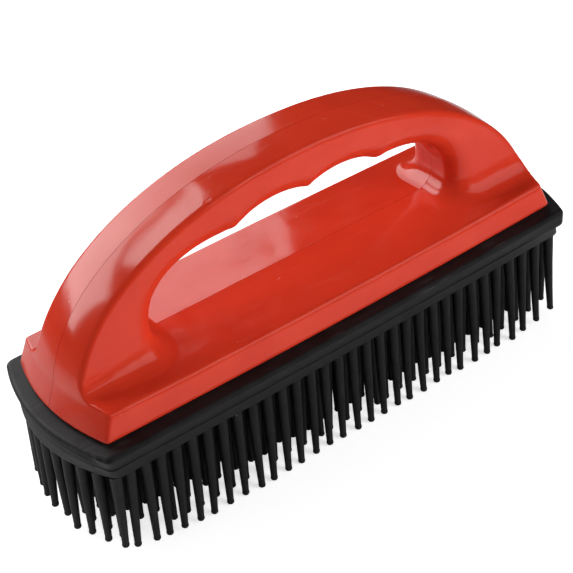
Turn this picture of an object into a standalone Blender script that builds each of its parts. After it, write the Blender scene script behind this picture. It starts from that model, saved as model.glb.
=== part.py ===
"""Rubber curry brush: a hollow two-part handle body, a rubber rim, a backing plate and a rubber pin pad.

The brush stands on its pins. X runs along its length, Y across it and Z up, in metres. The origin is on
the surface it stands on, below its middle. Heights are stated from that surface.
"""

import math

import bmesh
import bpy
from mathutils import Matrix, Vector
from mathutils.geometry import interpolate_bezier

MM = 0.001

# Driving dimensions, in millimetres.
PITCH = 4.8                  # spacing of the pins, along and across
COLUMNS = 32                 # pins along the brush
ROWS = 9                     # pins across the brush
PIN_LENGTH = 31.0            # longest pins, in the middle
WALL = 2.2                   # wall thickness of the half shells
GAP = 0.3                    # clearance between neighbouring pieces
SEAM = 0.3                   # gap between the two half shells
OVERCUT = 1.0                # how far cutters run past a face

# Heights.
PAD_BOTTOM = PIN_LENGTH
PAD_TOP = PAD_BOTTOM + 5.8
RIM_BOTTOM = PAD_TOP + GAP
RIM_TOP = PAD_BOTTOM + 11.2
BODY_FOOT = RIM_TOP + GAP
DECK_EDGE = PAD_BOTTOM + 19.2
DECK_TOP = DECK_EDGE + 1.5   # the deck is crowned along its middle
HANDLE_TOP = PAD_BOTTOM + 59.6
PAD_FLOOR = PAD_BOTTOM + 2.8           # of the recess that holds the backing plate
PLATE_THICKNESS = 3.0
PLATE_BOTTOM = PAD_FLOOR + GAP
FLANGE_BOTTOM = PLATE_BOTTOM + PLATE_THICKNESS + GAP    # of the body

# Plan outlines: half length and half width at the corners, bow of the ends, bow of the sides.
RIM_PLAN = (76.7, 25.3, 5.6, 0.6)
BODY_PLAN = (74.2, 21.4, 4.0, 0.6)
PAD_FOOT_PLAN = (75.6, 21.6, 4.8, 0.6)     # of the pad's underside, narrower than its top
CORNER = 1.2                 # corner radius of the body in plan
RIM_CORNER = 1.6
SHARPEST_CORNER = 0.8

# The base block and its foot.
DECK_INSET = 1.2             # how far the walls lean in, foot to deck
NECK_INSET = 1.5             # waist below the foot of the wall, where the rim's lip sits
LIP_THICKNESS = 1.8
RIM_WALL = 2.2
RIM_DRAFT = 0.9              # how far the rim narrows downwards
RIM_CROWN = 0.3              # the rim's top slopes up inwards by this much
DECK_ROUND = 0.8             # rounding of the deck's edge
RIDGE_ROUND = 1.2            # rounding of the rim's upper outer edge

# The handle, seen from the side.
ARCH_HALF_LENGTH = 77.4
ARCH_POWER = 2.15            # 2 is an ellipse; a little more makes fuller shoulders
HANDLE_HALF_WIDTH = 10.0
HANDLE_ROUND = 2.0           # rounding of the grip's long edges
END_BOW_FACTOR = 0.0087      # plan curvature of the handle's outer faces, 1/mm
OPENING_HALF_LENGTH = 49.4
FINGER_SPACING = 22.4
FINGER_RADIUS = 27.0
FINGER_CUSP = PAD_BOTTOM + 44.4       # middle cusp of the underside
OUTER_CUSP = PAD_BOTTOM + 42.6
OPENING_SHOULDER = (36.5, PAD_BOTTOM + 41.0)
OPENING_WIDEST = PAD_BOTTOM + 29.0
OPENING_FILLET = 5.0
FOOT_FLARE = 4.0             # radius of the concave flares between the handle's feet and the deck
CAVITY_RISE = FINGER_CUSP + 3.8 - DECK_TOP    # of the inner arch of the handle's hollow
CAVITY_POWER = 3.2

# The pad and its pins.
PAD_INSET = 1.1              # the pad stands back from the rim above it
PAD_RECESS = 3.0             # width of the raised edge round the backing plate
PIN_ROOT_RADIUS = 1.6
PIN_TIP_RADIUS = 0.95
PIN_SIDES = 6
END_ROW_BOW = 4.5            # bow of the end columns, like the pad's ends
END_SHORTENING = {-1: (6.0, 34.0), 1: (2.4, 16.0)}    # per end: how much shorter, over what length
SPLAY_END = 0.045            # outward lean of the pins at the ends
SPLAY_SIDE = 0.025           # outward lean of the pins along the sides

# Screws and their bosses.
SCREW_X = (-60.0, 0.0, 60.0)
SCREW_Y = 11.5
SCREW_RADIUS = 1.5
SCREW_HEAD_RADIUS = 2.8
SCREW_HEAD_HEIGHT = 1.5
SCREW_TOP = PAD_BOTTOM + 15.0
BOSS_RADIUS = 3.6
SINK_RADIUS = SCREW_HEAD_RADIUS + 1.0     # of the countersink's cutter, just below the plate
SINK_END_RADIUS = 1.0
DRIVE_SLOT_WIDTH = 0.8
DRIVE_SLOT_LENGTH = 4.0
DRIVE_SLOT_DEPTH = 0.8

# Pegs that line the halves up inside the handle.
PEG_X = (-32.0, 0.0, 32.0)
PEG_RADIUS = 1.5
PEG_REACH = 4.0
PEG_BOSS_RADIUS = 3.2

RED = (0.62, 0.035, 0.018, 1.0)
BLACK = (0.018, 0.018, 0.019, 1.0)
PLATE_GREY = (0.10, 0.10, 0.11, 1.0)
STEEL = (0.55, 0.55, 0.56, 1.0)


# Scene helpers.

def clear_scene():
    for item in list(bpy.data.objects):
        bpy.data.objects.remove(item, do_unlink=True)
    for group in list(bpy.data.collections):
        bpy.data.collections.remove(group)


def new_collection(name):
    group = bpy.data.collections.new(name)
    bpy.context.scene.collection.children.link(group)
    return group


def material(name, colour, roughness, metallic=0.0):
    made = bpy.data.materials.new(name)
    made.use_nodes = True
    shader = made.node_tree.nodes["Principled BSDF"]
    shader.inputs["Base Color"].default_value = colour
    shader.inputs["Roughness"].default_value = roughness
    shader.inputs["Metallic"].default_value = metallic
    return made


def mesh_object(name, mesh_data, group):
    """Link a bmesh, given in millimetres, as an object in metres."""
    bmesh.ops.scale(mesh_data, vec=(MM, MM, MM), verts=mesh_data.verts)
    bmesh.ops.recalc_face_normals(mesh_data, faces=mesh_data.faces)
    mesh = bpy.data.meshes.new(name)
    mesh_data.to_mesh(mesh)
    mesh_data.free()
    item = bpy.data.objects.new(name, mesh)
    group.objects.link(item)
    if group is TOOLS:
        item.hide_render = True
        item.display_type = "WIRE"
    return item


def boolean(item, other, operation):
    step = item.modifiers.new(other.name, "BOOLEAN")
    step.object = other
    step.operation = operation
    step.solver = "EXACT"


def finish(item, finish_material):
    item.data.materials.clear()
    item.data.materials.append(finish_material)
    item.data.shade_smooth()
    item.data.set_sharp_from_angle(angle=math.radians(35))


# Shapes.

def bowed_outline(plan, inset=0.0, corner=CORNER, end_points=8, side_points=12, corner_points=4):
    """Points round a rectangle whose ends and sides bow outwards, inset by a constant distance."""
    half_length, half_width, end_bow, side_bow = plan
    half_length -= inset
    half_width -= inset
    corner = max(corner - inset / 2, SHARPEST_CORNER)
    flat_u = 1 - corner / half_length
    flat_v = 1 - corner / half_width
    right_end = [(1.0, flat_v * (2 * i / end_points - 1)) for i in range(end_points)]
    far_side = [(flat_u * (1 - 2 * i / side_points), 1.0) for i in range(side_points)]

    def turn(centre_u, centre_v, start):
        arc = []
        for i in range(corner_points):
            angle = start + math.radians(90) * i / corner_points
            u = centre_u + (1 - flat_u) * math.cos(angle)
            v = centre_v + (1 - flat_v) * math.sin(angle)
            arc.append((u, v))
        return arc

    half = right_end + turn(flat_u, flat_v, 0.0) + far_side + turn(-flat_u, flat_v, math.radians(90))
    unit = half + [(-u, -v) for u, v in half]

    def bowed(u, v):
        return u * (half_length + end_bow * (1 - v * v)), v * (half_width + side_bow * (1 - u * u))

    return [bowed(u, v) for u, v in unit]


def skin(mesh_data, rings):
    """Faces between rings of equal length, with a cap on the first and the last."""
    for low, high in zip(rings, rings[1:]):
        for i in range(len(low)):
            j = (i + 1) % len(low)
            mesh_data.faces.new((low[i], low[j], high[j], high[i]))
    mesh_data.faces.new(rings[0])
    mesh_data.faces.new(rings[-1])


def loft(name, levels, group):
    """A closed body through level rings, each a list of points and a height."""
    mesh_data = bmesh.new()
    skin(mesh_data, [[mesh_data.verts.new((x, y, z)) for x, y in ring] for ring, z in levels])
    return mesh_object(name, mesh_data, group)


def squeezed(ring, factor_x, factor_y):
    return [(x * factor_x, y * factor_y) for x, y in ring]


def arch_height(x, half_length, base, rise, power, other_power=2.0):
    """Height of a super-ellipse arch at x."""
    share = max(1 - abs(x / half_length) ** power, 0.0)
    return base + rise * share ** (1 / other_power)


def arch_points(half_length, base, rise, power, other_power=2.0, steps=40, down_to=None):
    """An arch from -X over the top to +X, with its feet carried down to a given height."""
    points = []
    for i in range(steps + 1):
        angle = math.pi * i / steps
        x = -half_length * math.copysign(abs(math.cos(angle)) ** (2 / power), math.cos(angle))
        points.append((x, base + rise * math.sin(angle) ** (2 / other_power)))
    if down_to is not None:
        points = [(points[0][0], down_to)] + points + [(points[-1][0], down_to)]
    return points


def arc_between(start, end, radius, steps):
    """Points on an arc that bulges upwards from start to end, without its last point."""
    start, end = Vector(start), Vector(end)
    chord = end - start
    middle = (start + end) / 2
    drop = math.sqrt(radius ** 2 - (chord.length / 2) ** 2)
    side = Vector((chord.y, -chord.x)).normalized()
    if side.y > 0:
        side = -side
    centre = middle + side * drop
    first = math.atan2(start.y - centre.y, start.x - centre.x)
    last = math.atan2(end.y - centre.y, end.x - centre.x)
    turns = [first + (last - first) * i / steps for i in range(steps)]
    return [(centre.x + radius * math.cos(t), centre.y + radius * math.sin(t)) for t in turns]


def opening_points():
    """The hand opening from its middle to +X and down: two finger arcs, the shoulder and the column."""
    cusp = (FINGER_SPACING, OUTER_CUSP)
    points = arc_between((0.0, FINGER_CUSP), cusp, FINGER_RADIUS, 8)
    points += arc_between(cusp, OPENING_SHOULDER, FINGER_RADIUS, 6)
    points += shoulder_points()
    dip = 0.8                    # the fillet ends a little inside the base, so it meets the deck at an angle
    floor = DECK_TOP - dip
    column_foot = (OPENING_HALF_LENGTH - dip, floor + OPENING_FILLET)
    deck_end = (column_foot[0] - OPENING_FILLET, floor)
    return points + corner_fillet(column_foot, deck_end, 4) + [deck_end]


def shoulder_points():
    """From the last finger arc round to the upright column: one cubic curve, level at first."""
    start = Vector(OPENING_SHOULDER)
    end = Vector((OPENING_HALF_LENGTH, OPENING_WIDEST))
    pull_start = start + Vector((6.0, -2.3))
    pull_end = end + Vector((0.0, 7.5))
    curve = interpolate_bezier(start, pull_start, pull_end, end, 9)
    return [(point.x, point.y) for point in curve]


def corner_fillet(start, end, steps):
    """The opening's rounded lower corner, from an upright start to a level end, less its last point."""
    turns = [math.radians(90) * i / steps for i in range(steps)]
    width = start[0] - end[0]
    height = start[1] - end[1]
    return [(end[0] + width * math.cos(t), start[1] - height * math.sin(t)) for t in turns]


def handle_outline():
    """The handle from the side: the outer arch, then back along the opening, with feet inside the base."""
    outer = arch_points(ARCH_HALF_LENGTH, RIM_TOP, HANDLE_TOP - RIM_TOP, ARCH_POWER, steps=44)
    foot = DECK_EDGE - 3.0
    outer = [point for point in outer if point[1] > foot]
    opening = opening_points()[:-1]
    right = [(OPENING_HALF_LENGTH + 4.0, foot)] + opening[::-1]
    left = [(-x, z) for x, z in right[::-1]]
    edge_x = arch_reach(foot)
    return [(-edge_x, foot)] + outer + [(edge_x, foot)] + right + left[1:]


def arch_reach(z):
    """Half length of the outer arch at a height."""
    share = 1 - ((z - RIM_TOP) / (HANDLE_TOP - RIM_TOP)) ** 2
    return ARCH_HALF_LENGTH * share ** (1 / ARCH_POWER)


def extruded(name, points, half_width, group, round_radius=0.0):
    """A filled outline in the XZ plane, thickened along Y and made a mesh."""
    curve = bpy.data.curves.new(name + "_outline", "CURVE")
    curve.dimensions = "2D"
    curve.fill_mode = "BOTH"
    curve.extrude = half_width * MM
    spline = curve.splines.new("POLY")
    spline.points.add(len(points) - 1)
    for point, (x, z) in zip(spline.points, points):
        point.co = (x * MM, z * MM, 0.0, 1.0)
    spline.use_cyclic_u = True
    guide = bpy.data.objects.new(name + "_outline", curve)
    bpy.context.scene.collection.objects.link(guide)
    guide.rotation_euler = (math.radians(90), 0.0, 0.0)
    bpy.context.view_layer.update()
    depsgraph = bpy.context.evaluated_depsgraph_get()
    mesh = bpy.data.meshes.new_from_object(guide.evaluated_get(depsgraph))
    mesh.transform(guide.matrix_world)
    bpy.data.objects.remove(guide, do_unlink=True)
    mesh_data = bmesh.new()
    mesh_data.from_mesh(mesh)
    bpy.data.meshes.remove(mesh)
    bmesh.ops.scale(mesh_data, vec=(1 / MM, 1 / MM, 1 / MM), verts=mesh_data.verts)
    bmesh.ops.remove_doubles(mesh_data, verts=mesh_data.verts, dist=0.01)
    item = mesh_object(name, mesh_data, group)
    if round_radius:
        edge = item.modifiers.new("rounded_edges", "BEVEL")
        edge.width = round_radius * MM
        edge.segments = 3
        edge.limit_method = "ANGLE"
        edge.angle_limit = math.radians(60)
    return item


def cylinders(name, radius, runs, group, sides=20, end_radius=None):
    """One mesh of cylinders or cones, one for each pair of end points, which don't touch each other."""
    mesh_data = bmesh.new()
    for start, end in runs:
        last_radius = radius if end_radius is None else end_radius
        add_cone(mesh_data, radius, last_radius, Vector(start), Vector(end), sides)
    return mesh_object(name, mesh_data, group)


def add_cone(mesh_data, radius, end_radius, start, end, sides):
    axis = end - start
    place = Matrix.Translation((start + end) / 2) @ axis.to_track_quat("Z", "Y").to_matrix().to_4x4()
    bmesh.ops.create_cone(
        mesh_data, cap_ends=True, segments=sides, radius1=radius, radius2=end_radius,
        depth=axis.length, matrix=place,
    )


def block(name, low, high, group):
    """A box between two corners."""
    mesh_data = bmesh.new()
    size = Vector(high) - Vector(low)
    place = Matrix.Translation((Vector(low) + Vector(high)) / 2) @ Matrix.Diagonal(size).to_4x4()
    bmesh.ops.create_cube(mesh_data, size=1.0, matrix=place)
    return mesh_object(name, mesh_data, group)


# The two half shells.

def base_block(name, group):
    """The base of the body: flange, waist, leaning wall and crowned deck in one loft."""
    flange = bowed_outline(RIM_PLAN, inset=RIM_WALL + GAP)
    waist = bowed_outline(BODY_PLAN, inset=NECK_INSET)
    foot = bowed_outline(BODY_PLAN)
    edge = bowed_outline(BODY_PLAN, inset=DECK_INSET)
    deck = bowed_outline(BODY_PLAN, inset=DECK_INSET + DECK_ROUND)
    crown = DECK_TOP - DECK_EDGE
    flange_top = RIM_TOP - LIP_THICKNESS - GAP
    levels = [
        (flange, FLANGE_BOTTOM), (flange, flange_top), (waist, flange_top), (waist, BODY_FOOT),
        (foot, BODY_FOOT), (edge, DECK_EDGE - 0.75 * DECK_ROUND), (deck, DECK_EDGE),
        (squeezed(deck, 0.985, 0.62), DECK_EDGE + 0.6 * crown),
        (squeezed(deck, 0.97, 0.25), DECK_EDGE + 0.95 * crown),
        (squeezed(deck, 0.965, 0.03), DECK_TOP),
    ]
    return loft(name, levels, group)


def base_cavity(name, group):
    """The room inside the base, open at the bottom."""
    low = bowed_outline(BODY_PLAN, inset=NECK_INSET + WALL)
    high = bowed_outline(BODY_PLAN, inset=DECK_INSET + DECK_ROUND + WALL)
    levels = [(low, FLANGE_BOTTOM - OVERCUT), (low, BODY_FOOT + 1.0), (high, DECK_EDGE - WALL)]
    return loft(name, levels, group)


def handle_solid(name, group):
    """The handle, its outer faces bowed in plan like the ends of the base."""
    item = extruded(name, handle_outline(), HANDLE_HALF_WIDTH, group, HANDLE_ROUND)
    mesh_data = bmesh.new()
    mesh_data.from_mesh(item.data)
    everything = mesh_data.verts[:] + mesh_data.edges[:] + mesh_data.faces[:]
    bmesh.ops.bisect_plane(mesh_data, geom=everything, plane_co=(0, 0, 0), plane_no=(0, 1, 0), dist=1e-6)
    bow_start = OPENING_HALF_LENGTH + 4.5
    bow_run = 14.0
    for vert in mesh_data.verts:
        share = min(max((abs(vert.co.x) / MM - bow_start) / bow_run, 0.0), 1.0)
        bow = END_BOW_FACTOR * (vert.co.y / MM) ** 2 * MM
        vert.co.x -= math.copysign(share * bow, vert.co.x)
    bmesh.ops.triangulate(mesh_data, faces=[face for face in mesh_data.faces if len(face.verts) == 4])
    mesh_data.to_mesh(item.data)
    mesh_data.free()
    return item


def handle_cavity(name, group):
    """The room inside the handle: between two plain arches, open downwards into the base."""
    low = DECK_EDGE - WALL - OVERCUT
    outer = arch_points(
        ARCH_HALF_LENGTH - WALL, RIM_TOP, HANDLE_TOP - WALL - RIM_TOP, ARCH_POWER, steps=36)
    outer = [point for point in outer if point[1] > low + OVERCUT]
    inner = arch_points(
        OPENING_HALF_LENGTH + WALL, DECK_TOP, CAVITY_RISE, CAVITY_POWER, CAVITY_POWER, steps=24, down_to=low)
    edge_x = outer[-1][0]
    points = [(-edge_x, low)] + outer + [(edge_x, low)] + inner[::-1]
    return extruded(name, points, HANDLE_HALF_WIDTH - WALL, group)


def foot_flares(name, group):
    """The concave flares where the feet of the handle meet the deck."""
    inner_x = OPENING_HALF_LENGTH + 0.7
    sunk = 0.3                   # the flares start a little inside the handle and the deck
    mesh_data = bmesh.new()
    for side in (-1, 1):
        rings = []
        for rise in (-1.0, 0.3, 1.2, 2.2, FOOT_FLARE):
            share = min(max(1 - rise / FOOT_FLARE, 0.0), 1.0)
            half = HANDLE_HALF_WIDTH - sunk + FOOT_FLARE * (1 - math.sqrt(1 - share * share))
            z = DECK_EDGE + sunk + rise
            outer_x = arch_reach(z) - 1.9
            corners = [(inner_x, -half), (outer_x, -half), (outer_x, half), (inner_x, half)]
            rings.append([mesh_data.verts.new((side * x, y, z)) for x, y in corners])
        skin(mesh_data, rings)
    return mesh_object(name, mesh_data, group)


def half_shell(name, side, group):
    """One half of the body: side is -1 for the half at -Y and 1 for the half at +Y."""
    item = base_block(name, group)
    boolean(item, HANDLE, "UNION")
    boolean(item, FOOT_FLARES, "UNION")
    boolean(item, BASE_CAVITY, "DIFFERENCE")
    boolean(item, HANDLE_CAVITY, "DIFFERENCE")

    screw_y = side * SCREW_Y
    ceiling = DECK_EDGE - WALL + OVERCUT
    boss_runs = [((x, screw_y, FLANGE_BOTTOM), (x, screw_y, ceiling)) for x in SCREW_X]
    boolean(item, cylinders(name + "_bosses", BOSS_RADIUS, boss_runs, TOOLS), "UNION")
    inner_wall = side * (HANDLE_HALF_WIDTH - WALL / 2)
    peg_boss_runs = [((x, inner_wall, peg_height(x)), (x, -side, peg_height(x))) for x in PEG_X]
    boolean(item, cylinders(name + "_peg_bosses", PEG_BOSS_RADIUS, peg_boss_runs, TOOLS), "UNION")

    reach = 120.0
    near, far = sorted((side * SEAM / 2, side * reach))
    boolean(item, block(name + "_side", (-reach, near, 0.0), (reach, far, reach), TOOLS), "INTERSECT")

    hole_runs = [((x, screw_y, FLANGE_BOTTOM - OVERCUT), (x, screw_y, SCREW_TOP + 1.0)) for x in SCREW_X]
    boolean(item, cylinders(name + "_screw_holes", SCREW_RADIUS + GAP, hole_runs, TOOLS, 12), "DIFFERENCE")
    if side < 0:
        peg_runs = [((x, -OVERCUT, peg_height(x)), (x, PEG_REACH, peg_height(x))) for x in PEG_X]
        boolean(item, cylinders(name + "_pegs", PEG_RADIUS, peg_runs, TOOLS, 12), "UNION")
    else:
        depth = PEG_REACH + GAP
        socket_runs = [((x, -OVERCUT, peg_height(x)), (x, depth, peg_height(x))) for x in PEG_X]
        boolean(item, cylinders(name + "_sockets", PEG_RADIUS + GAP, socket_runs, TOOLS, 12), "DIFFERENCE")
    finish(item, MATERIALS["red"])
    return item


def peg_height(x):
    """The middle of the handle's hollow at x."""
    roof = arch_height(x, ARCH_HALF_LENGTH - WALL, RIM_TOP, HANDLE_TOP - WALL - RIM_TOP, ARCH_POWER)
    floor = arch_height(x, OPENING_HALF_LENGTH + WALL, DECK_TOP, CAVITY_RISE, CAVITY_POWER, CAVITY_POWER)
    return (roof + floor) / 2


# The rubber rim, the backing plate and the pad.

def retaining_rim(group):
    ridge_top = RIM_TOP - RIM_CROWN
    outer = bowed_outline(RIM_PLAN, corner=RIM_CORNER)
    hem = bowed_outline(RIM_PLAN, inset=RIM_DRAFT, corner=RIM_CORNER)
    shoulder = bowed_outline(RIM_PLAN, inset=RIDGE_ROUND * 0.3, corner=RIM_CORNER)
    flat = bowed_outline(RIM_PLAN, inset=RIDGE_ROUND, corner=RIM_CORNER)
    levels = [
        (hem, RIM_BOTTOM), (outer, ridge_top - RIDGE_ROUND), (shoulder, ridge_top - RIDGE_ROUND * 0.3),
        (flat, ridge_top), (squeezed(flat, 0.97, 0.9), RIM_TOP),
    ]
    item = loft("retaining_rim", levels, group)
    groove = bowed_outline(RIM_PLAN, inset=RIM_WALL)
    lip = bowed_outline(BODY_PLAN, inset=NECK_INSET - GAP)
    inside = [
        (groove, RIM_BOTTOM - OVERCUT), (groove, RIM_TOP - LIP_THICKNESS),
        (lip, RIM_TOP - LIP_THICKNESS), (lip, RIM_TOP + OVERCUT),
    ]
    boolean(item, loft("rim_inside", inside, TOOLS), "DIFFERENCE")
    finish(item, MATERIALS["rubber"])
    return item


def backing_plate(group):
    outline = bowed_outline(RIM_PLAN, inset=PAD_INSET + PAD_RECESS + GAP)
    item = loft("backing_plate", [(outline, PLATE_BOTTOM), (outline, PLATE_BOTTOM + PLATE_THICKNESS)], group)
    places = [(x, side * SCREW_Y) for x in SCREW_X for side in (-1, 1)]
    top = PLATE_BOTTOM + PLATE_THICKNESS + OVERCUT
    hole_runs = [((x, y, PLATE_BOTTOM - OVERCUT), (x, y, top)) for x, y in places]
    boolean(item, cylinders("plate_holes", SCREW_RADIUS + GAP, hole_runs, TOOLS), "DIFFERENCE")
    sink_low = PLATE_BOTTOM - OVERCUT / 2
    sink_high = sink_low + SINK_RADIUS - SINK_END_RADIUS
    sink_runs = [((x, y, sink_low), (x, y, sink_high)) for x, y in places]
    sinks = cylinders("plate_sinks", SINK_RADIUS, sink_runs, TOOLS, end_radius=SINK_END_RADIUS)
    boolean(item, sinks, "DIFFERENCE")
    finish(item, MATERIALS["plate"])
    return item


def screw(name, x, y, group):
    """A countersunk screw, its head flush with the underside of the plate."""
    head = PLATE_BOTTOM + 0.1
    head_run = [((x, y, head), (x, y, head + SCREW_HEAD_HEIGHT))]
    item = cylinders(name, SCREW_HEAD_RADIUS, head_run, group, end_radius=SCREW_RADIUS)
    shank_run = [((x, y, head + DRIVE_SLOT_DEPTH + 0.1), (x, y, SCREW_TOP))]
    boolean(item, cylinders(name + "_shank", SCREW_RADIUS - 0.02, shank_run, TOOLS, 12), "UNION")
    half_slot = (DRIVE_SLOT_LENGTH / 2, DRIVE_SLOT_WIDTH / 2)
    for reach_x, reach_y in (half_slot, half_slot[::-1]):
        low = (x - reach_x, y - reach_y, head - OVERCUT)
        high = (x + reach_x, y + reach_y, head + DRIVE_SLOT_DEPTH)
        boolean(item, block(name + "_slot", low, high, TOOLS), "DIFFERENCE")
    finish(item, MATERIALS["steel"])
    return item


def pin_length(x):
    """The pins get shorter towards each end, so the working face is crowned."""
    most, run = END_SHORTENING[1 if x > 0 else -1]
    end = PITCH * (COLUMNS - 1) / 2
    share = max(abs(x) - (end - run), 0.0) / run
    return PIN_LENGTH - most * share * share


def pins(group):
    """All pins in one mesh, each a tapered column that leans out a little towards the edge of the pad."""
    mesh_data = bmesh.new()
    half_run = PITCH * (COLUMNS - 1) / 2
    half_rows = PITCH * (ROWS - 1) / 2
    for column in range(COLUMNS):
        for row in range(ROWS):
            y = PITCH * row - half_rows
            share = (PITCH * column - half_run) / half_run
            x = share * (half_run + END_ROW_BOW * (1 - (y / half_rows) ** 2))
            length = pin_length(PITCH * column - half_run)
            lean = Vector((SPLAY_END * share, SPLAY_SIDE * y / half_rows, -1.0))
            root = Vector((x, y, PAD_BOTTOM))
            tip = root + lean * length
            add_cone(mesh_data, PIN_ROOT_RADIUS, PIN_TIP_RADIUS, root - lean, tip, PIN_SIDES)
    return mesh_object("pins", mesh_data, group)


def pin_pad(group):
    foot = bowed_outline(PAD_FOOT_PLAN, corner=RIM_CORNER)
    top = bowed_outline(RIM_PLAN, inset=PAD_INSET, corner=RIM_CORNER)
    item = loft("pin_pad", [(foot, PAD_BOTTOM), (top, PAD_TOP)], group)
    recess = bowed_outline(RIM_PLAN, inset=PAD_INSET + PAD_RECESS)
    recess_levels = [(recess, PAD_FLOOR), (recess, PAD_TOP + OVERCUT)]
    boolean(item, loft("pad_recess", recess_levels, TOOLS), "DIFFERENCE")
    boolean(item, pins(TOOLS), "UNION")
    finish(item, MATERIALS["rubber"])
    return item


clear_scene()
PARTS = new_collection("rubber_curry_brush")
TOOLS = new_collection("cutters")
MATERIALS = {
    "red": material("red_gloss_plastic", RED, 0.22),
    "rubber": material("black_rubber", BLACK, 0.6),
    "plate": material("grey_plastic", PLATE_GREY, 0.5),
    "steel": material("zinc_plated_steel", STEEL, 0.35, metallic=1.0),
}

HANDLE = handle_solid("handle", TOOLS)
FOOT_FLARES = foot_flares("foot_flares", TOOLS)
BASE_CAVITY = base_cavity("base_cavity", TOOLS)
HANDLE_CAVITY = handle_cavity("handle_cavity", TOOLS)
half_shell("body_half_left", -1, PARTS)
half_shell("body_half_right", 1, PARTS)
retaining_rim(PARTS)
backing_plate(PARTS)
pin_pad(PARTS)
for number, (screw_x, screw_side) in enumerate([(x, s) for x in SCREW_X for s in (-1, 1)], start=1):
    screw(f"plate_screw_{number}", screw_x, screw_side * SCREW_Y, PARTS)
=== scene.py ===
"""Rubber curry brush: glossy moulded body, matt rubber rim and pin pad, on a plain pale floor.

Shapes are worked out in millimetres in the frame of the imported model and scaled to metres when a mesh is
made. The body is one signed-distance formula, turned into a mesh by surface nets and cut at the centre seam
into its two half shells. The rim and the pad are lofts, and the pins are turned profiles.
"""

import math
import random

import bmesh
import bpy
import numpy as np
from mathutils import Matrix, Vector

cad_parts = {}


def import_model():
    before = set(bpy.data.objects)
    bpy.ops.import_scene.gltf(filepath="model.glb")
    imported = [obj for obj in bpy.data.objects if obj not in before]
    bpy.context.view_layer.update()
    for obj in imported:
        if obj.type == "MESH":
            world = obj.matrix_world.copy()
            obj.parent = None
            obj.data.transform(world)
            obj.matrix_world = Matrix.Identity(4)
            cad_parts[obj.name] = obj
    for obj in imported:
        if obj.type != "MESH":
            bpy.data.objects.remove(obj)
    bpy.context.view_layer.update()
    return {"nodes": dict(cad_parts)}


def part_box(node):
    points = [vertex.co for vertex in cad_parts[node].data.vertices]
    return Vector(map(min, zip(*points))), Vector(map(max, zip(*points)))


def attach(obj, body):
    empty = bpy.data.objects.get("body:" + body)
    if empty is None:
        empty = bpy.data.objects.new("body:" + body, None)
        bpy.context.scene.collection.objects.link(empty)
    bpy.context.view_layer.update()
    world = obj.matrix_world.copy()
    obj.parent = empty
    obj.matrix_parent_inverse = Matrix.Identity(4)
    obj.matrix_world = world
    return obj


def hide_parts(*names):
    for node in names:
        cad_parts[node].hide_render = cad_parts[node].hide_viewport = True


MM = 0.001

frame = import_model()


def node_box(node):
    """The lowest and the highest corner of a node's box, in millimetres."""
    low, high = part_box(node)
    return low / MM, high / MM


# Levels read from the frame, in millimetres.
RIM_LOW, RIM_HIGH = node_box("retaining_rim")
PAD_LOW, PAD_HIGH = node_box("pin_pad")
BODY_LOW, BODY_HIGH = node_box("body_half_left")
RIM_TOP = RIM_HIGH.z
RIM_BOTTOM = RIM_LOW.z
PAD_TOP = PAD_HIGH.z
HANDLE_TOP = BODY_HIGH.z
BODY_BOTTOM = BODY_LOW.z

# Design sizes that the frame's boxes don't tell, in millimetres.
PAD_THICKNESS = 5.8          # without the pins
PAD_BOTTOM = PAD_TOP - PAD_THICKNESS

# The red body's base.
BODY_FOOT = RIM_TOP + 0.3    # the walls stop just above the rim
DECK_EDGE = PAD_BOTTOM + 19.2
DECK_CROWN = 1.5             # how much higher the deck is at the seam than along its sides
CROWN_STRAIGHT = 0.9         # share of the crown's fall that is straight and not curved
SEAM_GAP = 0.12
FOOT_HALF_WIDTH = 21.4
SIDE_BOW = 1.1
WALL_LEAN = math.radians(8.5)
BODY_CORNER = 1.0            # corner radius of the base in plan
END_EDGE_ROUND = 0.5         # deck edge at the ends
SIDE_EDGE_ROUND = 1.1        # deck edge along the sides
FOOT_ROUND = 1.1             # the wall tucks in above the rim
END_FLARE = 1.8              # the end walls stand out from the arch's curve near the foot
END_FLARE_HEIGHT = 7.0       # below the deck's edge
WAIST_INSET = 1.5            # the part that the rim grips is this much narrower than the walls
WAIST_OVERLAP = 1.5          # and it runs this far up inside them

# The handle.
ARCH_HALF_LENGTH = 76.5
ARCH_POWER = 2.13
ARCH_RISE = HANDLE_TOP - RIM_TOP
END_BOW_FACTOR = 0.0087      # plan curvature of the outer faces, 1/mm
RIDGE_SLOPE = 0.03           # each half of the roof falls away from the seam
RIDGE_REACH = 30.0           # the fall levels off at half this distance from the seam
RIDGE_START = 2.0            # the ridge grows from this height above the deck's edge
RIDGE_RISE = 14.0            # to its full slope over this height
ROOF_FLATTENING = RIDGE_SLOPE / 12    # how much less curved the roof is than the end walls, 1/mm
HANDLE_HALF_WIDTH = 10.0
HANDLE_SPREAD = 1.3          # added to the half width at the handle's feet
SPREAD_HEIGHT = 18.0         # fading out over this height
HANDLE_SHIFT = 1.0           # the handle sits this much to the left of the base
SHIFT_HEIGHT = 22.0          # in full from this height above the deck's edge
ROOF_EDGE_ROUND = 1.3        # handle's outer long edges
OPENING_EDGE_ROUND = 6.0     # handle's long edges round the opening
FOOT_FILLETS = (2.8, 6.0)    # radius at the brush's left end, and from the left column's inner face on
FILLET_START = 75.0          # where the radius starts to grow, left of the middle
FILLET_RUN = 22.0

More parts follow.
